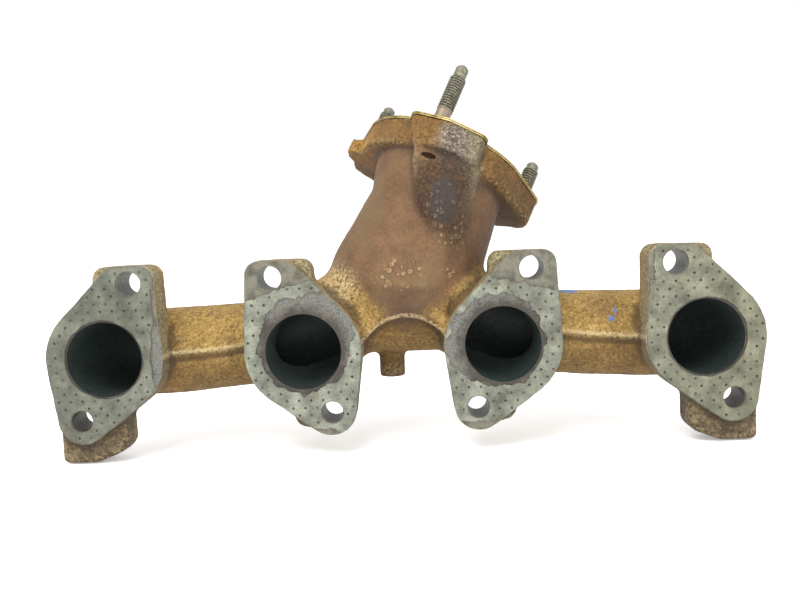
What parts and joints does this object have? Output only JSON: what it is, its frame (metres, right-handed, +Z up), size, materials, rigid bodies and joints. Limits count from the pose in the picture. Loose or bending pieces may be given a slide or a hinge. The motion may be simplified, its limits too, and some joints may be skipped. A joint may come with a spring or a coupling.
{
  "type": "exhaust manifold",
  "caption": "Rusty cast iron exhaust manifold: a row of flanged ports, curved runners and a leaning neck with a studded outlet flange.",
  "frame": {"origin": "under the middle of the whole box, at the level of the lowest lugs", "axes": "+X along the row of ports, -Y out of the port faces, +Z up towards the outlet"},
  "size_m": [0.3156, 0.0876, 0.1709],
  "materials": {
    "rusty_cast_iron": "sand-cast iron under golden to dark brown rust",
    "stud_steel": "aged olive-grey steel with dark thread grooves",
    "outlet_gasket_metal": "thin tarnished golden metal sheet",
    "port_gasket_sheet": "grey-green fibre facing on a perforated core, baked on and torn"
  },
  "bodies": {
    "root": {"manifold_casting": "rusty_cast_iron", "outlet_stud_front": "stud_steel", "outlet_stud_left": "stud_steel", "outlet_stud_right": "stud_steel", "outlet_gasket": "outlet_gasket_metal", "port_gasket_1": "port_gasket_sheet", "port_gasket_2": "port_gasket_sheet", "port_gasket_3": "port_gasket_sheet", "port_gasket_4": "port_gasket_sheet"}
  },
  "joints": []
}
